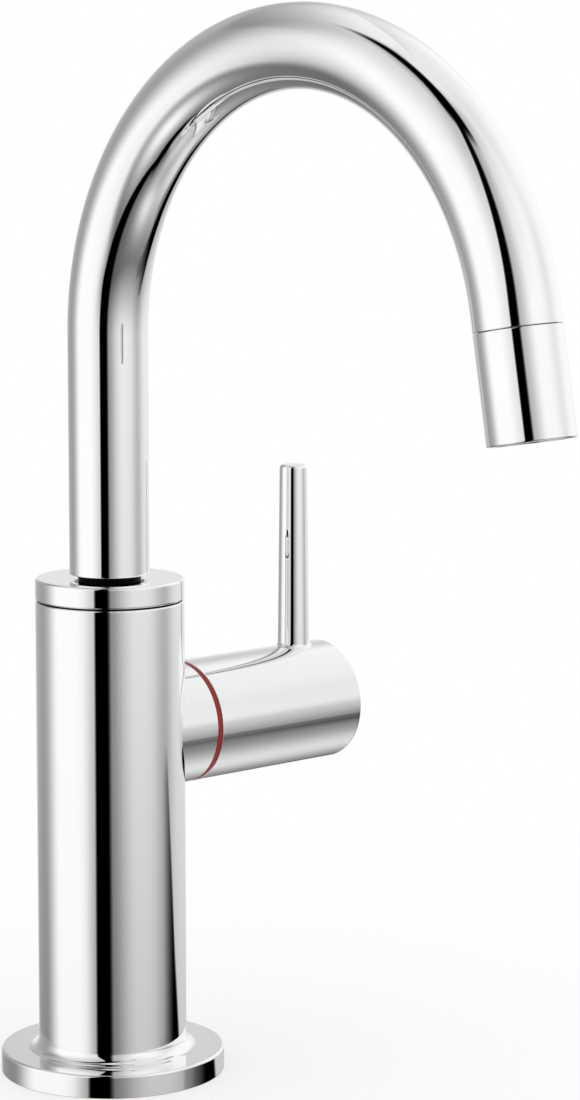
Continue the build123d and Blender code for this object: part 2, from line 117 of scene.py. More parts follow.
def level(radius, heights):
    # plain outline points up or down a straight side
    return [(radius, height) for height in heights]


def ringAngles(columns):
    # angles round a part, begun a quarter turn on so that no window lies across the seam
    return np.linspace(0.5 * np.pi, 2.5 * np.pi, columns + 1)


def turned(path, columns=fineness["around"]):
    # every outline point (r, h) goes round Z: x = r cos(angle), y = r sin(angle), z = h
    angle = ringAngles(columns)
    radius = path[:, :1]
    return np.stack([radius * np.cos(angle), radius * np.sin(angle), path[:, 1:] + 0 * angle], -1)


def onHandleAxis(points):
    # a part turned about Z is laid over onto the handle's axis, so that its Z becomes +X
    laid = np.stack([points[..., 2], points[..., 1], -points[..., 0]], -1)
    return laid + np.array([0, 0, handleHeight])


def weldedObject(name, patches, finish):
    # Each patch is a grid of points, with an optional mask of the faces to keep. Neighbouring
    # points make quads, points that coincide are welded, and a quad that loses a corner is a
    # triangle.
    pointParts, faceParts, count = [], [], 0
    for patch in patches:
        grid, keep = patch if isinstance(patch, tuple) else (patch, None)
        rows, columns = grid.shape[:2]
        number = count + np.arange(rows * columns).reshape(rows, columns)
        quads = np.stack([number[:-1, :-1], number[1:, :-1], number[1:, 1:], number[:-1, 1:]], -1)
        faceParts.append(quads.reshape(-1, 4) if keep is None else quads[keep])
        pointParts.append(grid.reshape(-1, 3))
        count += rows * columns
    points = np.vstack(pointParts)
    cells = np.round(points / fineness["weld"] + fineness["weldShift"]).astype(np.int64)
    first, welded = np.unique(cells, axis=0, return_index=True, return_inverse=True)[1:]
    faces = welded.reshape(-1)[np.vstack(faceParts)]
    same = faces == np.roll(faces, -1, axis=1)
    whole = faces[~same.any(1)]
    pointed = same.sum(1) == 1
    corners = faces[pointed][~same[pointed]].reshape(-1, 3)
    used, slim = np.unique(np.concatenate([whole.ravel(), corners.ravel()]), return_inverse=True)
    whole = slim[:whole.size].reshape(-1, 4)
    corners = slim[whole.size:].reshape(-1, 3)
    mesh = bpy.data.meshes.new(name)
    mesh.from_pydata((points[first][used] / 1000).tolist(), [], whole.tolist() + corners.tolist())
    shell = bmesh.new()
    shell.from_mesh(mesh)
    bmesh.ops.recalc_face_normals(shell, faces=shell.faces)
    openEdges = sum(1 for edge in shell.edges if len(edge.link_faces) != 2)
    shell.to_mesh(mesh)
    shell.free()
    mesh.shade_smooth()
    mesh.set_sharp_from_angle(angle=math.radians(fineness["sharpAngle"]))
    mesh.materials.append(finish)
    made = bpy.data.objects.new(name, mesh)
    bpy.context.scene.collection.objects.link(made)
    print("  ", name, len(mesh.polygons), "faces,", openEdges, "open edges")
    return made


def buildPiece(name, patches, body, node, stuff, shade=None):
    # a piece that stands in for one CAD node, rides on its body and has its finish
    piece = weldedObject(name, patches, finishes[stuff])
    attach(piece, body)
    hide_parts(node)
    # painted shade on the piece, where a shade function is given
    if shade:
        shadePoints(piece.data, shade)


def shadePoints(mesh, shade):
    # a function of x, y and z in millimetres tells the finish how dark each point is, from 0 to 1;
    # on the chrome this is painted shade
    places = np.empty(3 * len(mesh.vertices))
    mesh.vertices.foreach_get("co", places)
    layer = mesh.attributes.new("shade", "FLOAT", "POINT")
    layer.data.foreach_set("value", shade(*places.reshape(-1, 3).T * 1000))


# Windows: places where a turned wall is left open for a hole or for another form to grow out of


def windowIn(path, columns, radius, middle, halfHeight, halfColumns, facing):
    # The block of faces round (facing, middle) is left out of the turned grid. Its edge comes back
    # as a loop of angles and heights: along the first row, up the side, back along the last row and
    # down again.
    nearby = abs(path - (radius, middle)) < (fineness["touch"], halfHeight + fineness["touch"])
    rows = np.where(nearby.all(1))[0]
    step = 2 * np.pi / columns
    centre = round((facing - 0.5 * np.pi) % (2 * np.pi) / step)
    keep = np.ones((len(path) - 1, columns), bool)
    keep[rows[0]:rows[-1], centre - halfColumns:centre + halfColumns] = False
    across = np.arange(-halfColumns, halfColumns + 1) * step
    grid = np.stack(np.meshgrid(across, path[rows, 1]))
    sides = [grid[:, 0, :-1], grid[:, :-1, -1], grid[:, -1, :0:-1], grid[:, ::-1, 0]]
    return keep, np.concatenate(sides, axis=1)


def onCylinder(angle, height, radius, facing):
    around = facing + angle
    return np.stack([radius * np.cos(around), radius * np.sin(around), height + 0 * angle], -1)


def betweenLoops(rim, loop, radius, facing, steps):
    # on the cylinder, angle and height go in a straight line from the rim to the window's edge
    share = np.linspace(0, 1, steps + 1)[:, None]
    angle = rim[0] * (1 - share) + loop[0] * share
    height = rim[1] * (1 - share) + loop[1] * share
    return onCylinder(angle, height, radius, facing)


def drilledHole(path, columns, radii, middle, hole, window):
    # A straight hole through the outer and the inner wall of a turned part, towards angle 0. It
    # meets a wall at the angle asin(hole cos(direction) / radius). Each wall gets a window with the
    # hole's rim in it, and straight lines join the two rims.
    halfHeight, halfColumns, steps = window
    keep = np.ones((len(path) - 1, columns), bool)
    patches, rims = [], []
    for radius in radii:
        cut, loop = windowIn(path, columns, radius, middle, halfHeight, halfColumns, 0)
        keep &= cut
        if rims:
            loop[1] = 2 * middle - loop[1]      # the inner wall's rows run the other way
        else:
            direction = np.arctan2(loop[1] - middle, loop[0] * radius)
        reach, height = hole * np.cos(direction), middle + hole * np.sin(direction)
        rim = np.stack([np.arcsin(reach / radius), height])
        patches.append(betweenLoops(rim, loop, radius, 0, steps))
        rims.append(onCylinder(*rim, radius, 0))
    patches.append(np.stack([rims[0], (rims[0] + rims[1]) / 2, rims[1]]))
    return keep, patches


# Finishes


def wire(tree, node, inputs):
    # every input, by its name or number, gets a number, a colour or what another node gives
    for name, value in inputs.items():
        socket = node.inputs[name]
        if isinstance(value, bpy.types.NodeSocket):
            tree.links.new(value, socket)
        elif isinstance(value, tuple) and len(socket.default_value) == 4:
            socket.default_value = (*value, 1)
        else:
            socket.default_value = value


def newNode(tree, kind, inputs=(), output=0, **settings):
    # makes a shader node and comes back with one of its outputs
    made = tree.nodes.new("ShaderNode" + kind)
    for name, value in settings.items():
        setattr(made, name, value)
    wire(tree, made, dict(inputs))
    return made.outputs[output]


def newFinish(name):
    made = bpy.data.materials.new(name)
    made.use_nodes = True
    return made, made.node_tree, made.node_tree.nodes["Principled BSDF"]


def objectPlace(tree, stretch=(1, 1, 1)):
    # where a point is on the piece, stretched so that a pattern can run along one axis
    place = newNode(tree, "TexCoord", output="Object")
    return newNode(tree, "Mapping", {"Vector": place, "Scale": stretch})


def shadeOf(tree):
    return newNode(tree, "Attribute", output="Fac", attribute_name="shade")


def noise(tree, vector, scale, detail=3):
    inputs = {"Vector": vector, "Scale": scale, "Detail": detail}
    return newNode(tree, "TexNoise", inputs, "Fac")


def between(tree, factor, low, high):
    # numbers from low to high as the factor goes from a quarter to three quarters
    inputs = {"Value": factor, "From Min": 0.25, "From Max": 0.75, "To Min": low, "To Max": high}
    return newNode(tree, "MapRange", inputs)


def tones(tree, factor, dark, light):
    inputs = {"Factor": factor, "A": dark, "B": light}
    return newNode(tree, "Mix", inputs, "Result", data_type="RGBA")


def relief(tree, height, strength, depth):
    return newNode(tree, "Bump", {"Height": height, "Strength": strength, "Distance": depth})


# What finishes of one kind have in common
patterns = {
    "metalRelief": 0.5,
    "mouldedRelief": 0.4,
    "mouldedClouds": 120,
}

chromeLook = {
    "dark": (0.905, 0.908, 0.915),
    "light": (0.935, 0.936, 0.938),
    "smoothest": 0.012,
    "dullest": 0.035,
    "cloudScale": 38,     # soft polishing clouds, about an inch across
    "groove": (0.02, 0.02, 0.021),     # painted shade deep in a seam: the chrome is darkened to this colour there
}


def polishedChrome():
    made, tree, shader = newFinish("polished_chrome_finish")
    clouds = noise(tree, objectPlace(tree), chromeLook["cloudScale"], 2)
    unshadedTone = tones(tree, clouds, chromeLook["dark"], chromeLook["light"])
    wire(tree, shader, {
        # painted shade: the 'shade' attribute darkens the chrome towards the seam colour
        "Base Color": tones(tree, shadeOf(tree), unshadedTone, chromeLook["groove"]),
        "Roughness": between(tree, clouds, chromeLook["smoothest"], chromeLook["dullest"]),
        "Metallic": 1,
    })
    return made


# Metals that come off a lathe or a drawing die, with fine lines across or along them
metalLooks = {
    "turned_brass": {
        "dark": (0.62, 0.42, 0.16), "light": (0.78, 0.58, 0.27), "rough": (0.2, 0.34),
        "stretch": (1, 1, 26), "lines": 70, "clouds": 60, "depth": 0.00004,
    },
    "copper_tube": {
        "dark": (0.66, 0.3, 0.17), "light": (0.83, 0.45, 0.29), "rough": (0.22, 0.4),
        "stretch": (22, 22, 0.4), "lines": 60, "clouds": 45, "depth": 0.00003,
    },
    "stainless_steel": {
        "dark": (0.46, 0.46, 0.45), "light": (0.62, 0.62, 0.61), "rough": (0.24, 0.38),
        "stretch": (1, 18, 1), "lines": 90, "clouds": 70, "depth": 0.00003,
    },
}


def along(tree, place, direction):
    inputs = {0: place, 1: direction}
    return newNode(tree, "VectorMath", inputs, "Value", operation="DOT_PRODUCT")


def nearGap(tree, gap):
    # 1 within reach of a plane and 0 away from it, the mask of painted shade at a gap: |place .
    # direction - distance| < reach
    run = along(tree, objectPlace(tree), gap["direction"])
    inputs = {0: run, 1: gap["distance"] / 1000, 2: gap["reach"] / 1000}
    return newNode(tree, "Math", inputs, operation="COMPARE")


def workedMetal(name, look, gap=None):
    made, tree, shader = newFinish(name + "_finish")
    lines = noise(tree, objectPlace(tree, look["stretch"]), look["lines"], 4)
    clouds = noise(tree, objectPlace(tree), look["clouds"], 3)
    colour = tones(tree, clouds, look["dark"], look["light"])
    # painted shade on the brass near a narrow gap
    if gap:
        colour = tones(tree, nearGap(tree, gap), colour, gap["colour"])
    wire(tree, shader, {
        "Base Color": colour,
        "Roughness": between(tree, lines, *look["rough"]),
        "Normal": relief(tree, lines, patterns["metalRelief"], look["depth"]),
        "Metallic": 1,
    })
    return made


# Moulded plastics, rubber and ceramic: a fine grain, and a colour that is hardly uneven
mouldedLooks = {
    "black_rubber": {
        "dark": (0.012, 0.012, 0.013), "light": (0.03, 0.03, 0.031), "rough": (0.62, 0.8),
        "grain": 1400, "depth": 0.00005,
    },
    "black_acetal": {
        "dark": (0.0012, 0.0012, 0.0012), "light": (0.0022, 0.0022, 0.0022), "rough": (0.3, 0.42),
        "grain": 900, "depth": 0.00002, "specular": 0.04,
    },
    "white_acetal": {
        "dark": (0.7, 0.7, 0.67), "light": (0.8, 0.8, 0.78), "rough": (0.36, 0.5),
        "grain": 900, "depth": 0.00002,
    },
    "grey_acetal": {
        "dark": (0.3, 0.31, 0.32), "light": (0.38, 0.39, 0.4), "rough": (0.36, 0.5),
        "grain": 900, "depth": 0.00002,
    },
    "white_ceramic": {
        "dark": (0.8, 0.79, 0.76), "light": (0.88, 0.87, 0.85), "rough": (0.1, 0.2),
        "grain": 2200, "depth": 0.00001,
    },
    "red_indicator": {
        "dark": (0.24, 0.012, 0.009), "light": (0.31, 0.018, 0.012), "rough": (0.3, 0.4),
        "grain": 1100, "depth": 0.00001, "specular": 0.3,
    },
}


def mouldedStuff(name, look):
    made, tree, shader = newFinish(name + "_finish")
    grain = noise(tree, objectPlace(tree), look["grain"], 2)
    clouds = noise(tree, objectPlace(tree), patterns["mouldedClouds"], 3)
    wire(tree, shader, {
        "Base Color": tones(tree, clouds, look["dark"], look["light"]),
        "Roughness": between(tree, grain, *look["rough"]),
        "Normal": relief(tree, grain, patterns["mouldedRelief"], look["depth"]),
        "Specular IOR Level": look.get("specular", 0.5),
    })
    return made


finishes = {"polished_chrome": polishedChrome()}
for name, look in metalLooks.items():
    finishes[name] = workedMetal(name, look)
for name, look in mouldedLooks.items():
    finishes[name] = mouldedStuff(name, look)
for node in frame["nodes"].values():
    for place in node.material_slots:
        place.material = finishes[place.material.name]
print("finishes made:", len(finishes))


# Column with its flange

jointPlaces = {joint["name"]: joint["pos_m"] for joint in frame["joints"]}
handleHeight = jointPlaces["handle_turn"][2] * 1000

column = {
    "radius": span("top_cap")[1][0],
    "flangeRadius": span("body_shell")[1][0],
    "flangeTop": 5.55,
    "rootRound": 2.6,
    "rimRound": 0.6,
    "footRound": 0.15,
    "edgeRound": 0.45,
    "top": span("body_shell")[1][2],
    "bore": 14.5,
    "recess": 22.45,
    "recessTop": 2.2,
    "webTop": 5.95,
    "shankHole": 12.75,
    "sideHole": 9.25,
    "windowRows": 22,
    "window": (11.0, 24, 6),     # half its height, half its columns, steps from the hole's rim
}


def columnAndFlange():
    # One closed outline goes round Z, and the side hole is drilled through its wall towards +X.
    size = column
    half = size["window"][0]
    rows = np.linspace(-half, half, size["windowRows"] + 1) + handleHeight
    corners = [
        (size["recess"], 0),
        (size["flangeRadius"], 0, size["footRound"]),
        (size["flangeRadius"], size["flangeTop"], size["rimRound"]),
        (size["radius"], size["flangeTop"], size["rootRound"]),
        *level(size["radius"], rows),
        (size["radius"], size["top"], size["edgeRound"]),
        (size["bore"], size["top"]),
        *level(size["bore"], rows[::-1]),
        (size["bore"], size["webTop"]),
        (size["shankHole"], size["webTop"]),
        (size["shankHole"], size["recessTop"]),
        (size["recess"], size["recessTop"]),
    ]
    path = outline(corners)
    radii = size["radius"], size["bore"]
    keep, patches = drilledHole(
        path, fineness["around"], radii, handleHeight, size["sideHole"], size["window"]
    )
    patches.append((turned(path), keep))

    def inSeam(x, y, z):
        # painted shade on the upper edge, under the cap
        return seamShade(x, y) * (z > size["top"] - fineness["shadeReach"])

    buildPiece("columnAndFlange", patches, "base", "body_shell", "polished_chrome", inSeam)


cap = {
    "rimRound": 0.65,
    "edgeRound": 0.45,
    "seamFloor": 16.9,
    "seamTop": 114.55,
    "seamShadeOuter": 17.55,     # the painted seam shade stops out here
    "seamShadeFull": 17.3,       # the painted seam shade is full from here inwards
    "skirt": 14.2,
    "skirtRound": 0.3,
    "bore": 7.45,
    "boreRound": 0.12,
}


# painted shade in the seam between cap and column: 0 outwards of seamShadeOuter, 1 inwards of
# seamShadeFull
def seamShade(x, y):
    return smoothStep(np.hypot(x, y), cap["seamShadeOuter"], cap["seamShadeFull"])


def capRing():
    # one closed outline round Z: skirt, shadow groove, rim and bore
    low, high = span("top_cap")
    path = outline([
        (cap["bore"], low[2]),
        (cap["skirt"], low[2], cap["skirtRound"]),
        (cap["skirt"], column["top"]),
        (cap["seamFloor"], column["top"]),
        (cap["seamFloor"], cap["seamTop"]),
        (column["radius"], cap["seamTop"], cap["edgeRound"]),
        (column["radius"], high[2], cap["rimRound"]),
        (cap["bore"], high[2], cap["boreRound"]),
    ])

    def inSeam(x, y, z):
        # painted shade inwards of the seam's rounded edges
        return seamShade(x, y) * (z < cap["seamTop"] + fineness["shadeReach"])

    buildPiece("capRing", [turned(path)], "base", "top_cap", "polished_chrome", inSeam)


bush = {
    "bore": 5.65,
    "neck": 7.4,
    "flange": 12.45,
    "flangeTop": span("top_cap")[0][2],
    "flangeRound": 0.2,
    "topRound": 0.12,
}


def bushNeck():
    low, high = span("spout_bush")
    path = outline([
        (bush["bore"], low[2]),
        (bush["flange"], low[2], bush["flangeRound"]),
        (bush["flange"], bush["flangeTop"], bush["flangeRound"]),
        (bush["neck"], bush["flangeTop"], bush["flangeRound"]),
        (bush["neck"], high[2], bush["topRound"]),
        (bush["bore"], high[2]),
    ])
    buildPiece("bushNeck", [turned(path)], "base", "spout_bush", "black_acetal")


columnAndFlange()
capRing()
bushNeck()
print("column, cap and bush made")


# Hub and indicator ring

hub = {
    "radius": 14.75,
    "bore": 9.05,
    "face": span("side_hub")[1][0],
    "edgeRound": 0.22,
    "saddleSteps": 8,
}


def sideHub():
    # A ring about the handle's axis. Its inner end lies on the column: at distance r from the axis
    # and angle a, the end stands at sqrt(R^2 - (r sin a)^2).
    radii = np.linspace(hub["bore"], hub["radius"], hub["saddleSteps"] + 1)
    path = outline([
        *[(radius, 0) for radius in radii],
        (hub["radius"], hub["face"], hub["edgeRound"]),
        (hub["bore"], hub["face"]),
    ])
    points = turned(path)
    seat = np.sqrt(column["radius"] ** 2 - points[..., 1] ** 2)
    points[..., 2] = np.where(path[:, 1:] == 0, seat, points[..., 2])
    buildPiece("sideHub", [onHandleAxis(points)], "base", "side_hub", "polished_chrome")


indicator = {
    "radius": 14.65,
    "edgeRound": 0.12,
    "reach": 0.14,      # how far it stands out into the gap before the handle
}


def indicatorRing():
    low, high = span("hot_indicator_ring")
    end = high[0] + indicator["reach"]
    path = outline([
        (hub["bore"], low[0]),
        (indicator["radius"], low[0], indicator["edgeRound"]),
        (indicator["radius"], end, indicator["edgeRound"]),
        (hub["bore"], end),
    ])
    shape = [onHandleAxis(turned(path))]
    buildPiece("indicatorRing", shape, "base", "hot_indicator_ring", "red_indicator")


sideHub()
indicatorRing()
print("hub and indicator made")


# Handle: barrel and lever in one piece

handle = {
    "radius": 14.75,
    "start": span("lever_handle")[0][0],
    "end": span("lever_handle")[1][0],
    "endRound": 0.8,
    "lipRound": 0.22,
    "bore": 12.55,
    "adapterBore": 8.85,
    "adapterStart": 32.4,
    "adapterEnd": 46.4,
    "stopBore": 7.35,
    "cavityEnd": 60.1,
    "around": 180,
    "screwPlace": 39.4,
    "screwHole": 2.05,
    "screwRows": 14,
    "screwWindow": (3.6, 10, 5),     # half its height, half its columns, steps from the hole's rim
    "leverPlace": 59.3,
    "leverRows": 24,
    "leverWindow": (6.2, 12, 8),     # the same, with steps from the fillet's rim
    "leverRoot": 3.92,
    "leverTip": 3.44,
    "leverSteps": 9,
    "rootRound": 1.0,
    "rootSteps": 8,
    "tipRound": 0.9,
    "tipSteps": 9,
    "top": span("lever_handle")[1][2] - handleHeight,
}


def leverPatches(loop):
    # The lever stands square on the barrel. A ball of the root's radius rolls in the corner between
    # the two: its centre is (R + q) from the barrel's axis and (r + q) from the lever's, its
    # touching points give the two rims, and the fillet is the arc between them. Above it the lever
    # tapers to its rounded tip.
    size = handle
    ball = size["rootRound"]
    barrelReach = size["radius"] + ball
    leverReach = size["leverRoot"] + ball
    direction = np.arctan2(loop[1] - size["leverPlace"], loop[0] * size["radius"])
    across, along = np.cos(direction), np.sin(direction)
    upwards = np.sqrt(barrelReach ** 2 - (leverReach * across) ** 2)
    rimAngle = np.arcsin(leverReach * across / barrelReach)
    rim = np.stack([rimAngle, size["leverPlace"] + leverReach * along])
    ground = betweenLoops(rim, loop, size["radius"], np.pi, size["leverWindow"][2])

    centre = np.stack([leverReach * across, leverReach * along, upwards], -1)
    toBarrel = centre * (-1 / barrelReach, 0, -1 / barrelReach)
    toLever = centre * (-1 / leverReach, -1 / leverReach, 0)
    turn = np.arccos(np.sum(toBarrel * toLever, -1))[:, None]
    share = np.linspace(0, 1, size["rootSteps"] + 1)[:, None, None]
    arc = np.sin((1 - share) * turn) * toBarrel + np.sin(share * turn) * toLever
    fillet = centre + ball * arc / np.sin(turn)

    tipStart = size["top"] - size["tipRound"]
    guard = fineness["guard"] / (tipStart - barrelReach)
    rows = np.linspace(0, 1, size["leverSteps"] + 2)[1:-1]
    share = np.concatenate([[0, guard], rows, [1 - guard, 1]])[:, None]
    height = upwards + (tipStart - upwards) * share
    radius = size["leverRoot"] + (size["leverTip"] - size["leverRoot"]) * share
    side = np.stack([radius * across, radius * along, height], -1)

    bend = np.linspace(0, 0.5 * np.pi, size["tipSteps"] + 1)[:, None]
    radius = size["leverTip"] - size["tipRound"] * (1 - np.cos(bend))
    radius = np.vstack([radius, radius[-1:] - fineness["guard"], [[0]]])
    height = tipStart + size["tipRound"] * np.sin(bend)
    height = np.vstack([height, height[-1:], height[-1:]])
    tip = np.stack([radius * across, radius * along, height + 0 * across], -1)

    grids = [ground]
    for grid in (fillet, side, tip):
        place = size["leverPlace"] + grid[..., 1]
        grids.append(np.stack([-grid[..., 2], -grid[..., 0], place], -1))
    return grids


def leverHandle():
    # The barrel's outline runs from the middle of its end face, along the outside and back along
    # the inside. The lever grows out of a window on top, and the set screw's hole is drilled below.
    size = handle

    def rowsAt(name):
        place, half, rows = size[name + "Place"], size[name + "Window"][0], size[name + "Rows"]
        return np.linspace(place + half, place - half, rows + 1)

    leverRows, screwRows = rowsAt("lever"), rowsAt("screw")
    path = outline([
        (0, size["end"]),
        (size["radius"], size["end"], size["endRound"]),
        *level(size["radius"], leverRows),
        *level(size["radius"], screwRows),
        (size["radius"], size["start"], size["lipRound"]),
        (size["bore"], size["start"]),
        (size["bore"], size["adapterStart"]),
        (size["adapterBore"], size["adapterStart"]),
        *level(size["adapterBore"], screwRows[::-1]),
        (size["adapterBore"], size["adapterEnd"]),
        (size["stopBore"], size["adapterEnd"]),
        (size["stopBore"], size["cavityEnd"]),
        (0, size["cavityEnd"]),
    ], closed=False)
    around, radii = size["around"], (size["radius"], size["adapterBore"])
    halfHeight, halfColumns = size["leverWindow"][:2]
    keep, loop = windowIn(
        path, around, size["radius"], size["leverPlace"], halfHeight, halfColumns, np.pi
    )
    screwKeep, hole = drilledHole(
        path, around, radii, size["screwPlace"], size["screwHole"], size["screwWindow"]
    )
    shape = [onHandleAxis(grid) for grid in leverPatches(loop) + hole]
    shape.append((onHandleAxis(turned(path, around)), keep & screwKeep))
    buildPiece("leverHandle", shape, "handle", "lever_handle", "polished_chrome")


leverHandle()
print("handle made")


# Spout

spout = {
    "radius": span("spout_tube")[1][0],
    "bore": 8.325,
    "bottom": span("spout_tube")[0][2],
    "bendHeight": 177.5,
    "bendRadius": 66.5,
    "bendAngle": math.radians(169.6),
    "tail": 3.7,
    "edgeRound": 0.2,
    "around": 96,
    "bendRows": 144,
    "legRows": 12,
}
spout["leg"] = spout["bendHeight"] - spout["bottom"]
spout["bend"] = spout["bendRadius"] * spout["bendAngle"]
spout["length"] = spout["leg"] + spout["bend"] + spout["tail"]


def alongSpout(path, columns=spout["around"]):
    # An outline point (r, s) lies at distance r from the spout's centre line, s along it: straight
    # up the leg, round the bend's centre by (s - leg) / bend radius, then straight on.
    run = path[:, 1]
    angle = np.clip((run - spout["leg"]) / spout["bendRadius"], 0, spout["bendAngle"])
    before = np.minimum(run - spout["leg"], 0)
    after = np.maximum(run - spout["leg"] - spout["bend"], 0)
    cosine, sine = np.cos(angle), np.sin(angle)
    y = spout["bendRadius"] * (cosine - 1) - after * sine
    z = spout["bendHeight"] + spout["bendRadius"] * sine + before + after * cosine
    turn = ringAngles(columns)
    reach = path[:, :1] * np.cos(turn)
    x = path[:, :1] * np.sin(turn)
    y = y[:, None] + reach * cosine[:, None]
    z = z[:, None] + reach * sine[:, None]
    return np.stack([x, y, z], -1)


def spoutTube():
    # closed outline of the tube's wall, carried along the spout
    bend = spout["leg"] + np.linspace(0, spout["bend"], spout["bendRows"] + 1)
    leg = np.linspace(0, spout["leg"], spout["legRows"] + 2)[1:-1]
    rows = np.concatenate([leg, bend])
    path = outline([
        (spout["radius"], 0, spout["edgeRound"]),
        *level(spout["radius"], rows),
        (spout["radius"], spout["length"], spout["edgeRound"]),
        (spout["bore"], spout["length"]),
        *level(spout["bore"], rows[::-1]),
        (spout["bore"], 0),
    ])
    buildPiece("spoutTube", [alongSpout(path)], "spout", "spout_tube", "polished_chrome")


outlet = {
    "gap": 0.1,
    "length": 23.7,
    "bore": 8.375,
    "lip": 7.825,
    "lipHeight": 1.4,
    "seamRound": 0.2,
    "mouthRound": 0.4,
    "lipRound": 0.15,
}


def outletSleeve():
    # closed outline of the sleeve, carried on past the end of the tube
    start = spout["length"] + outlet["gap"]
    end = spout["length"] + outlet["length"]
    path = outline([
        (outlet["bore"], start),
        (spout["radius"], start, outlet["seamRound"]),
        (spout["radius"], end, outlet["mouthRound"]),
        (outlet["lip"], end, outlet["lipRound"]),
        (outlet["lip"], end - outlet["lipHeight"]),
        (outlet["bore"], end - outlet["lipHeight"]),
    ])
    buildPiece("outletSleeve", [alongSpout(path)], "spout", "outlet_sleeve", "polished_chrome")


# Two narrow gaps along the spout: the brass inside gets painted shade near them, so that it shows
# dark through them
gapShadows = {
    "spout_spigot": {"place": 0, "reach": 0.6, "colour": (0.015, 0.012, 0.009)},
    "outlet_nipple": {"place": spout["length"], "reach": 0.6, "colour": (0.03, 0.026, 0.022)},
}


def paintGapShade(node, gap):
    # the gap's plane stands square to the spout's centre line at this length along it
    turn = min(max((gap["place"] - spout["leg"]) / spout["bendRadius"], 0), spout["bendAngle"])
    middle = alongSpout(np.array([[0, gap["place"]]]))[0, 0]
    gap["direction"] = (0, -math.sin(turn), math.cos(turn))
    gap["distance"] = middle @ gap["direction"]
    # the brass gets painted shade on the gap's plane
    for place in frame["nodes"][node].material_slots:
        place.material = workedMetal(node, metalLooks["turned_brass"], gap)


spoutTube()
outletSleeve()
for node, gap in gapShadows.items():
    paintGapShade(node, gap)
print("spout made")


# Shank under the flange, and what clamps it to the deck

shank = {
    "bore": 10.4,
    "pilot": 11.9,
    "pilotRound": 0.5,
    "radius": 12.7,
    "threadFrom": -57,
    "threadTo": 1.5,
    "fade": 1.5,            # height over which the thread starts and runs out
    "pitch": 1.5,
    "depth": 0.75,
    "flat": 0.16,           # share of the wave cut flat at the crest, and as much at the root
    "rowsPerTurn": 12,
    "around": 96,
    "collar": 14.45,
    "collarTop": 9.95,
    "neck": 12.0,
}


def mountingShank():
    # One closed outline goes round Z. Along the thread the radius drops by depth times a wave of
    # z / pitch - angle / 2 pi, so that it climbs one pitch each turn. The wave is a triangle with
    # its top and bottom cut flat.
    size = shank
    low, high = span("mounting_shank")
    rows = round((size["threadTo"] - size["threadFrom"]) / size["pitch"] * size["rowsPerTurn"])
    heights = np.linspace(size["threadFrom"], size["threadTo"], rows + 1)
    step = size["radius"] - size["pilot"]
    path = outline([
        (size["bore"], low[2]),
        (size["pilot"], low[2], size["pilotRound"]),
        (size["pilot"], heights[0] - step),
        *level(size["radius"], heights),
        (size["radius"], column["webTop"]),
        (size["collar"], column["webTop"]),
        (size["collar"], size["collarTop"]),
        (size["neck"], size["collarTop"]),
        (size["neck"], high[2]),
        (size["bore"], high[2]),
    ])
    points = turned(path, size["around"])
    angle = ringAngles(size["around"])
    height = points[..., 2]
    wave = np.arccos(np.cos(2 * np.pi * height / size["pitch"] - angle)) / np.pi
    groove = np.clip((wave - size["flat"]) / (1 - 2 * size["flat"]), 0, 1)
    groove *= smoothStep(height, heights[0], heights[0] + size["fade"])
    groove *= smoothStep(height, heights[-1], heights[-1] - size["fade"])
    radius = path[:, :1] - size["depth"] * groove * (path[:, :1] == size["radius"])
    points[..., 0] = radius * np.cos(angle)
    points[..., 1] = radius * np.sin(angle)
    buildPiece("mountingShank", [points], "base", "mounting_shank", "turned_brass")


nut = {
    "flats": 36.0,
    "chamfer": 1.2,
    "coneSlope": math.tan(math.radians(30)),
    "bore": 12.75,
    "boreChamfer": 0.7,
    "columnsPerSide": 16,
}


def mountingNut():
    # A side stands flats / 2 / cos(angle from its middle) away from Z. The cones that take the
    # corners off meet the side where it stands furthest out, so each row ends at its own height.
    low, high = span("mounting_nut")
    angle = np.linspace(0, 2 * np.pi, 6 * nut["columnsPerSide"] + 1)
    fromMiddle = angle % (np.pi / 3) - np.pi / 6
    side = nut["flats"] / 2 / np.cos(fromMiddle)
    face = np.minimum(side, nut["flats"] / math.sqrt(3) - nut["chamfer"])
    drop = (side - face) * nut["coneSlope"]
    bore = nut["bore"] + 0 * angle
    wide = bore + nut["boreChamfer"]
    radius = np.stack([bore, wide, face, side, side, face, wide, bore, bore])
    rows = [nut["boreChamfer"] + 0 * angle, 0 * angle, 0 * angle, drop]
    lowRows = [low[2] + row for row in rows]
    highRows = [high[2] - row for row in rows[::-1]]
    height = np.stack(lowRows + highRows + lowRows[:1])
    points = np.stack([radius * np.cos(angle), radius * np.sin(angle), height], -1)
    buildPiece("mountingNut", [points], "base", "mounting_nut", "turned_brass")


# Flat rings round the shank: name, bore, how round their outer edges are, and what they are made of
washers = {
    "rubber_washer": ("rubberWasher", 13.0, 0.5, "black_rubber"),
    "steel_washer": ("steelWasher", 13.0, 0.25, "stainless_steel"),
}


def flatWasher(node, name, bore, edgeRound, stuff):
    low, high = span(node)
    path = outline([
        (bore, low[2], edgeRound / 2),
        (high[0], low[2], edgeRound),
        (high[0], high[2], edgeRound),
        (bore, high[2], edgeRound / 2),
    ])
    buildPiece(name, [turned(path)], "base", node, stuff)


mountingShank()
mountingNut()
for node, values in washers.items():
    flatWasher(node, *values)
print("shank, nut and washers made")


# Three copper tubes that come out of the shank

riser = {
    "radius": 3.175,
    "wall": 0.9,
    "bead": 0.8,
    "beadWidth": 1.2,
    "beadRound": 0.55,
    "mouthRound": 0.3,
    "around": 48,
    "pieces": {
        "cold_inlet_tube": "coldInletTube",
        "tank_feed_tube": "tankFeedTube",
        "hot_return_tube": "hotReturnTube",
    },
}


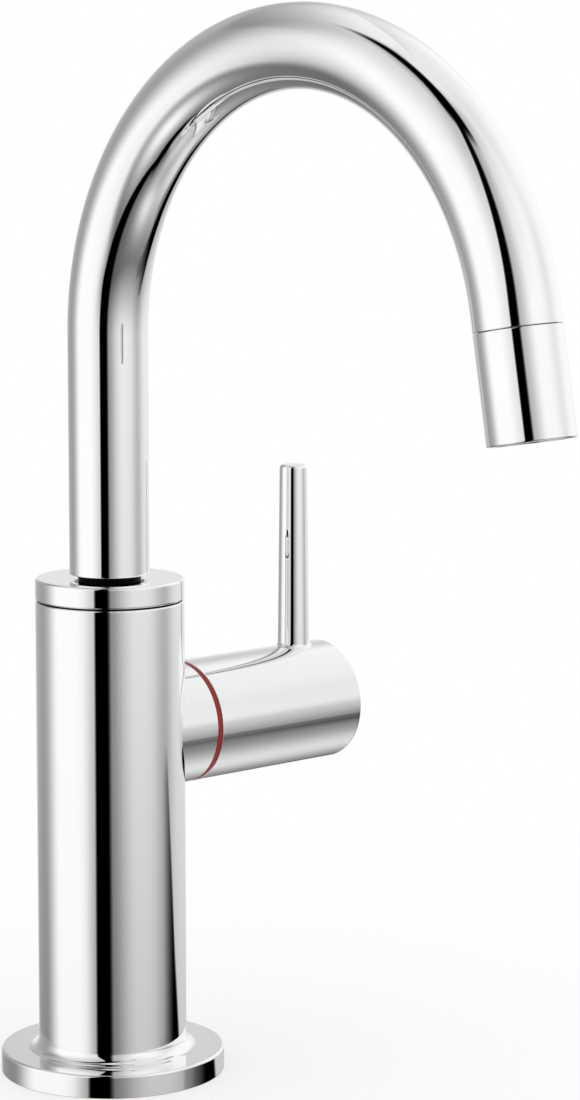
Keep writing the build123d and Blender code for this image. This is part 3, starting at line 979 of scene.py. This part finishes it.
def copperTube(node, name):
    # closed outline of the wall with its rounded bead, turned about the tube's own middle
    low, high = span(node)
    bore, bead = riser["radius"] - riser["wall"], riser["radius"] + riser["bead"]
    top = span("mounting_shank")[0][2]
    path = outline([
        (bore, low[2], riser["mouthRound"]),
        (riser["radius"], low[2], riser["mouthRound"]),
        (riser["radius"], top - riser["beadWidth"]),
        (bead, top - riser["beadWidth"], riser["beadRound"]),
        (bead, top, riser["beadRound"]),
        (riser["radius"], top),
        (riser["radius"], high[2]),
        (bore, high[2]),
    ])
    points = turned(path, riser["around"]) + np.array([*(low + high)[:2] / 2, 0])
    buildPiece(name, [points], "base", node, "copper_tube")


for node, name in riser["pieces"].items():
    copperTube(node, name)
print("copper tubes made")


# Round sealing rings: name, body, radius of the section, how many, and whether they lie on the
# handle's axis. Their places come from the CAD nodes.

sealRings = {
    "spigot_seal_rings": ("spigotSealRings", "spout", 0.5, 2, False),
    "stem_seal_rings": ("stemSealRings", "handle", 0.8, 2, True),
    "housing_seal_ring": ("housingSealRing", "base", 0.5, 1, True),
}
ringFineness = {"section": 24, "around": 96, "solidFlats": 8}


def roundRings(node, name, body, section, count, onHandle):
    # a circle of the section's radius goes round the axis: radius = middle + section cos(t),
    # height = centre + section sin(t)
    low, high = span(node)
    along = 0 if onHandle else 2
    reach = section * math.cos(np.pi / ringFineness["solidFlats"])
    middle = (high - low)[1] / 2 - reach
    t = np.linspace(0, 2 * np.pi, ringFineness["section"] + 1)
    patches = []
    for centre in np.linspace(low[along] + reach, high[along] - reach, count):
        circle = np.stack([middle + section * np.cos(t), centre + section * np.sin(t)], -1)
        ring = turned(circle, ringFineness["around"])
        patches.append(onHandleAxis(ring) if onHandle else ring)
    buildPiece(name, patches, body, node, "black_rubber")


for node, values in sealRings.items():
    roundRings(node, *values)
print("sealing rings made")


# Camera at the photograph's viewing angle

shot = {
    "place": (-0.50756, -0.61505, 0.23791),
    "azimuth": -42.6086,
    "elevation": 7.9907,
    "longSide": 1100,      # picture height that the focal length was worked out for
    "focal": 3393.17,      # focal length in that picture's pixels
    "sensor": 36,
    "nearest": 0.02,       # metres that the camera sees from and to
    "furthest": 50,
}


def makeCamera():
    around, up = math.radians(shot["azimuth"]), math.radians(shot["elevation"])
    back = Vector((math.sin(around) * math.cos(up), -math.cos(around) * math.cos(up), math.sin(up)))
    data = bpy.data.cameras.new("camera")
    data.sensor_width = shot["sensor"]
    data.lens = shot["focal"] * shot["sensor"] / shot["longSide"]
    data.clip_start = shot["nearest"]
    data.clip_end = shot["furthest"]
    camera = bpy.data.objects.new("camera", data)
    camera.location = shot["place"]
    camera.rotation_euler = (-back).to_track_quat("-Z", "Y").to_euler()
    bpy.context.scene.collection.objects.link(camera)
    bpy.context.scene.camera = camera


makeCamera()
print("camera set")


# Studio: what the chrome mirrors

studio = {
    "facing": -42.6,          # degrees, the side that the studio's front stands on
    "gain": 1.1,              # brightness of the whole studio in a mirror
    "contrast": 2.2,          # levels below are as seen, and light goes with this power of them
    "ambient": 1.0,           # soft light on everything that isn't a mirror
    "leftBox": 0.985,
    "leftAt": -67,            # degrees round to the middle of the left box
    "rightBox": 0.97,
    "rightFootAt": (52, 145),     # degrees round, where this box reaches furthest down
    "rightFootReach": 34,         # degrees that it reaches down there
    "rightFootPower": 1.6,        # how late it fades on the way
    "backWall": 0.61,
    "haze": (0.49, 0.93),     # low and high on the back wall
    "hazeBendsAt": -125,      # degrees round from where the haze comes lower
    "hazeBend": 0.0083,       # degrees lower for each square degree beyond
    "ceiling": 0.9,
    "floor": 0.42,
    "floorBelow": 0.67,       # straight down
    "inFloor": [              # mirrored in the floor: degrees round and up, spread of both, level
        (-64, -56, 40, 16, 0.55),     # left box
        (58, -57, 34, 14, 0.42),      # right box
        (136, -52, 48, 21, 0.44),     # bright back
        (180, -19, 14, 9, 0.22),      # far wall
    ],
    "leanOutside": (-30, 10),     # degrees up, below and above which the slot's left edge leans
    "leanBelow": 0.6,             # how much of the lean there is below
    "leanMost": 36,               # degrees up over which it goes on
    "lean": 0.18,                 # degrees round for each degree up
}

# A direction is told by two angles: turn, in degrees round from the studio's front, and up, in
# degrees up from level. More angles are worked out from these, and they tell how far it is above
# each straight level edge here, given by the degrees round that it stands square to and its height
# there.
edges = {
    "aboveLeftFoot": (-72, -37),
    "aboveBarFoot": (-60, 69.5),
    "aboveBarTop": (-45, 80.6),
    "aboveImageTop": (-68, -77.3),
    "aboveImageFoot": (-52, -83.7),
}

# A band is an angle with how it goes: a rise from 0 to 1 or a fall from 1 to 0 between two values,
# or a bump at the first value with the second as its width. A region is where its bands meet.
regions = {
    "haze": [("hazeUp", "rise", 20, 76)],
    "upperWall": [("up", "rise", 28, 34)],
    "leftBox": [("turn", "rise", -123, -86)],
    "rightBox": [("turn", "rise", -14, -6)],
    "ceiling": [("up", "rise", 72, 84)],
    "straightDown": [("up", "fall", -86, -80)],
    "overWallFoot": [("up", "rise", -27, -8)],
    "overLeftFoot": [("aboveLeftFoot", "rise", -7, 8)],
    "leftFoot": [("turn", "rise", -122, -100)],
    "farRight": [("turn", "rise", 150, 180)],
    "slot": [
        ("slotLeft", "rise", -22.5, -17.5), ("slotRight", "fall", -3.3, 5.2),
        ("up", "rise", -84, -78), ("up", "fall", 74, 80),
    ],
    "bar": [
        ("barFoot", "rise", -2.5, 2.5), ("aboveBarTop", "fall", -2.5, 2.5),
        ("barEnd", "rise", 58, 67), ("turn", "fall", 12, 34), ("turn", "rise", -122, -97),
    ],
    "barInFloor": [
        ("aboveImageTop", "fall", -2.5, 2.5), ("aboveImageFoot", "rise", -3, 3),
        ("up", "fall", -75, -66), ("turn", "fall", 2, 36), ("turn", "rise", -128, -78),
    ],
}

# What is added to a level, or to an angle, where bands meet
added = {
    "leftBox": {
        "top": (-0.15, ("up", "rise", 12, 62)),
        "bothSides": (-0.1, ("fromLeft", "rise", 14, 46)),
        "foot": (-0.05, ("up", "fall", -34, -4)),
        "besideSlot": (-0.34, ("turn", "rise", -42, -12), ("up", "bump", -18, 9)),
    },
    "backWall": {
        "farEnd": (0.07, ("turn", "fall", -155, -125)),
        "corner": (0.24, ("turn", "fall", -168, -148), ("up", "fall", 2, 22)),
        "gleam": (0.08, ("turn", "fall", -177, -171), ("up", "bump", 17, 6)),
    },
    "leftSide": {
        "top": (-0.17, ("up", "rise", 57, 70), ("turn", "rise", -125, -95)),
    },
    "rightBox": {
        "besideSlot": (-0.28, ("turn", "fall", 0, 43)),
        "top": (-0.06, ("up", "rise", 30, 64)),
        "upperPart": (-0.045, ("up", "rise", 12, 36), ("turn", "bump", 42, 18)),
        "underBar": (-0.09, ("up", "bump", 69, 8), ("turn", "bump", 36, 26)),
        "dip": (-0.08, ("turn", "bump", 94, 18)),
        "dipFoot": (-0.1, ("turn", "bump", 94, 18), ("up", "fall", -4, 6)),
        "dipTop": (0.045, ("turn", "bump", 94, 18), ("up", "rise", 18, 44)),
        "farEnd": (-0.06, ("turn", "rise", 158, 180)),
        "farMiddle": (-0.14, ("turn", "rise", 158, 180), ("up", "bump", 26, 14)),
        "foot": (-0.04, ("up", "fall", -6, 2)),
        "footBesideSlot": (-0.07, ("up", "fall", -6, 2), ("turn", "fall", 4, 24)),
    },
    "floor": {
        "right": (0.3, ("turn", "rise", 20, 100), ("up", "fall", -80, -62)),
        "back": (0.2, ("turn", "fall", -150, -110), ("up", "fall", -75, -62)),
        "underSlot": (-0.06, ("turn", "bump", 4, 16)),
    },
    "slotLeft": {"notch": (1.5, ("up", "bump", -18, 5))},
    "slotRight": {"lowPart": (-0.6, ("up", "fall", -6, 4))},
    "barFoot": {"rightPart": (4, ("turn", "rise", -48, -8))},
    "barEnd": {"leftPart": (10, ("turn", "fall", -110, -95))},
}


def studioLevel(tree, direction):
    # Brightness of the studio by direction, in degrees round from its front and up from level. Two
    # tall soft boxes stand left and right of a black slot, with a dim wall behind on the left, a
    # dark bar overhead, and a floor that mirrors them softly.

    def calc(operation, *values):
        return newNode(tree, "Math", enumerate(values), operation=operation)

    def plus(a, b):
        return calc("ADD", a, b)

    def less(a, b):
        return calc("SUBTRACT", a, b)

    def times(a, b):
        return calc("MULTIPLY", a, b)

    def rise(value, low, high):
        # 0 up to low, 1 from high, and a smooth step between
        inputs = {"Value": value, "From Min": low, "From Max": high}
        return newNode(tree, "MapRange", inputs, interpolation_type="SMOOTHSTEP")

    def fall(value, low, high):
        return less(1, rise(value, low, high))

    def bump(value, at, width):
        # bell curve: exp(-((value - at) / width)^2)
        away = calc("DIVIDE", less(value, at), width)
        return calc("EXPONENT", times(times(away, away), -1))

    def blend(first, second, share):
        return plus(times(first, less(1, share)), times(second, share))

    def sideways(turned):
        around = math.radians(studio["facing"] + turned)
        return math.sin(around), -math.cos(around), 0

    def above(turned, height):
        # degrees above a straight level edge
        x, y = sideways(turned)[:2]
        slope = math.radians(height)
        upright = -x * math.sin(slope), -y * math.sin(slope), math.cos(slope)
        return calc("DEGREES", calc("ARCSINE", along(tree, direction, upright)))

    def meeting(bands):
        # the product of all the bands
        forms = {"rise": rise, "fall": fall, "bump": bump}
        return reduce(times, [forms[form](angles[name], *ends) for name, form, *ends in bands])

    def where(region):
        return meeting(regions[region])

    def changed(value, name):
        # a level or an angle with all that is added to it
        for change, *bands in added[name].values():
            value = plus(value, times(meeting(bands), change))
        return value

    front, side = [along(tree, direction, sideways(turned)) for turned in (0, 90)]
    turn = calc("DEGREES", calc("ARCTAN2", side, front))
    up = above(0, 0)
    angles = {"turn": turn, "up": up}
    for name, values in edges.items():
        angles[name] = above(*values)
    angles["fromLeft"] = calc("ABSOLUTE", less(turn, studio["leftAt"]))
    beyond = calc("MINIMUM", less(turn, studio["hazeBendsAt"]), 0)
    angles["hazeUp"] = plus(up, times(times(beyond, beyond), studio["hazeBend"]))
    low, high = studio["leanOutside"]
    lift = times(calc("MAXIMUM", less(low, up), 0), studio["leanBelow"])
    lift = plus(calc("MAXIMUM", less(up, high), 0), lift)
    lean = times(calc("MINIMUM", lift, studio["leanMost"]), studio["lean"])
    angles["slotLeft"] = changed(less(turn, lean), "slotLeft")
    angles["slotRight"] = changed(turn, "slotRight")
    angles["barFoot"] = changed(angles["aboveBarFoot"], "barFoot")
    angles["barEnd"] = changed(up, "barEnd")

    # above the floor: the left soft box with the wall behind it, and the right soft box
    haze = blend(*studio["haze"], where("haze"))
    wall = calc("MAXIMUM", changed(studio["backWall"], "backWall"), haze)
    wall = blend(wall, haze, where("upperWall"))
    left = blend(wall, changed(studio["leftBox"], "leftBox"), where("leftBox"))
    left = changed(left, "leftSide")
    right = changed(studio["rightBox"], "rightBox")
    upper = blend(left, right, where("rightBox"))
    upper = blend(upper, studio["ceiling"], where("ceiling"))

    # the floor: a dim grey with the boxes mirrored in it
    floor = studio["floor"]
    for turned, height, wide, tall, level in studio["inFloor"]:
        away = calc("ARCCOSINE", calc("COSINE", calc("RADIANS", less(turn, turned))))
        glow = times(bump(calc("DEGREES", away), 0, wide), bump(up, height, tall))
        floor = plus(floor, times(glow, level))
    floor = changed(floor, "floor")
    floor = blend(floor, studio["floorBelow"], where("straightDown"))

    # where the boxes end above the floor
    overWall = where("overWallFoot")
    overLeft = blend(overWall, where("overLeftFoot"), where("leftFoot"))
    cosines = [calc("COSINE", calc("RADIANS", less(turn, at))) for at in studio["rightFootAt"]]
    reach = times(calc("MAXIMUM", *cosines), studio["rightFootReach"])
    depth = calc("DIVIDE", calc("MAXIMUM", times(up, -1), 0), reach)
    overRight = less(1, calc("POWER", calc("MINIMUM", depth, 1), studio["rightFootPower"]))
    overRight = blend(overRight, overWall, where("farRight"))
    seen = blend(floor, upper, blend(overLeft, overRight, where("rightBox")))

    # black: the slot between the boxes, the bar overhead and its image in the floor
    for dark in ("slot", "bar", "barInFloor"):
        seen = times(seen, less(1, where(dark)))
    return times(calc("POWER", calc("MAXIMUM", seen, 0), studio["contrast"]), studio["gain"])


# A dark strip low behind the right soft box, near enough to shift in the mirrors
darkStrip = {
    "away": 1200,             # mm from the column
    "from": 76,               # degrees round from the studio's front
    "to": 184,
    "top": -120,
    "bottom": -1000,
    "columns": 86,
    "rows": 176,
    "starts": (86, 119, 1),           # steps: from and to in degrees round, and how high
    "ends": (160, 184, 0.75),
    "edgeTurns": (100, 117, 140),     # the top edge's corners, in degrees and mm
    "edgeHeights": (-165, -285, -385),
    "edgeBlur": 15,
    "foot": -580,
    "footSinks": (100, 135, 95),
    "footClimbs": (140, 168, 165),
    "footBlur": 80,
    "fringeStarts": (102, 122, 0.3),
    "fringeEnds": (146, 160, 1),
    "fringeFoot": (-1000, -850),
    "ledgeStarts": (78, 84, 0.2),
    "ledgeEnds": (98, 110, 1),
    "ledgeTop": (-330, -350),
    "ledgeFoot": (-570, -470),
}


def stripShade(turned, height):
    # How dark the strip is, from 0 to 1: full between a top edge, which sinks to the right, and a
    # bottom edge, and fading out at both ends. Its middle has a dim fringe below, and its left end
    # a ledge with a crisp top.
    size = darkStrip

    def step(name):
        low, high, most = size[name]
        return most * smoothStep(turned, low, high)

    top = np.interp(turned, size["edgeTurns"], size["edgeHeights"])
    bottom = size["foot"] - step("footSinks") + step("footClimbs")
    underTop = smoothStep(height - top, size["edgeBlur"], -size["edgeBlur"])
    fringe = step("fringeStarts") * (1 - step("fringeEnds"))
    fringe = fringe * smoothStep(height, *size["fringeFoot"])
    lower = smoothStep(height - bottom, -size["footBlur"], size["footBlur"])
    lower = fringe + (1 - fringe) * lower
    dark = step("starts") * (1 - step("ends")) * underTop * lower
    ledge = step("ledgeStarts") * (1 - step("ledgeEnds"))
    ledge = ledge * smoothStep(height, *size["ledgeTop"]) * smoothStep(height, *size["ledgeFoot"])
    return 1 - (1 - dark) * (1 - ledge)


def makeWorld():
    # The camera sees plain white, mirrors see the studio, and everything else gets even light.
    world = bpy.data.worlds.new("studio")
    world.use_nodes = True
    tree = world.node_tree

    def choice(ray, others, these):
        inputs = {"Factor": newNode(tree, "LightPath", output=ray), "A": others, "B": these}
        return newNode(tree, "Mix", inputs, "Result")

    mirrored = studioLevel(tree, newNode(tree, "TexCoord", output="Generated"))
    level = choice("Is Glossy Ray", studio["ambient"], mirrored)
    level = choice("Is Camera Ray", level, 1)
    wire(tree, tree.nodes["Background"], {"Strength": level, "Color": (1, 1, 1)})
    bpy.context.scene.world = world


def makeDarkStrip():
    # A grid on a cylinder about Z: x = away sin(angle), y = -away cos(angle), z = height. Only
    # mirrors see the strip, and they see past it by the share (1 - shade)^contrast.
    size = darkStrip
    angle = np.radians(studio["facing"] + np.linspace(size["from"], size["to"], size["columns"]))
    angle, height = np.meshgrid(angle, np.linspace(size["bottom"], size["top"], size["rows"]))
    points = np.stack([size["away"] * np.sin(angle), -size["away"] * np.cos(angle), height], -1)
    made, tree, shader = newFinish("dark_strip")
    tree.nodes.remove(shader)
    light = newNode(tree, "Math", {0: 1, 1: shadeOf(tree)}, operation="SUBTRACT")
    past = newNode(tree, "Math", {0: light, 1: studio["contrast"]}, operation="POWER")
    clear = newNode(tree, "BsdfTransparent", {"Color": past})
    wire(tree, tree.nodes["Material Output"], {"Surface": clear})
    strip = weldedObject("darkStrip", [points], made)

    def shade(x, y, z):
        turned = np.degrees(np.arctan2(x, -y)) - studio["facing"]
        return stripShade(turned % 360, z)

    shadePoints(strip.data, shade)
    for ray in ("camera", "diffuse", "transmission", "volume_scatter", "shadow"):
        setattr(strip, "visible_" + ray, False)


makeWorld()
makeDarkStrip()
print("studio made")


# Pale floor

deck = {
    "radii": (0, 100, 400, 1500, 6000),
    "around": 64,
    "colour": (0.97, 0.97, 0.97),
    "whiteShare": 0.5,      # how much of it shines white of itself, which softens the shadow
    "whiteFrom": 0.03,      # metres from the faucet where it starts to fade into the white beyond
    "whiteTo": 0.3,
    "speckle": 900,
    "speckleTone": 0.995,
    "roughness": 0.9,
}


def makeFloor():
    rings = outline([(radius, 0) for radius in deck["radii"]], closed=False)
    made, tree, shader = newFinish("deck_floor")
    floor = weldedObject("deckFloor", [turned(rings, deck["around"])], made)
    floor.visible_glossy = False      # mirrors see the studio's own floor
    place = newNode(tree, "TexCoord", output="Object")
    away = newNode(tree, "VectorMath", {0: place}, "Value", operation="LENGTH")
    fade = newNode(tree, "MapRange", {
        "Value": away,
        "From Min": deck["whiteFrom"],
        "From Max": deck["whiteTo"],
        "To Min": deck["whiteShare"],
    }, interpolation_type="SMOOTHSTEP")
    speckle = noise(tree, objectPlace(tree), deck["speckle"], 2)
    darker = tuple(deck["speckleTone"] * part for part in deck["colour"])
    wire(tree, shader, {
        "Base Color": tones(tree, speckle, darker, deck["colour"]),
        "Roughness": deck["roughness"],
        "Specular IOR Level": 0,
    })
    white = newNode(tree, "Emission")
    mix = newNode(tree, "MixShader", {"Fac": fade, 1: shader.outputs["BSDF"], 2: white})
    wire(tree, tree.nodes["Material Output"], {"Surface": mix})


makeFloor()
print("floor made")

bpy.context.scene.view_settings.view_transform = "Standard"
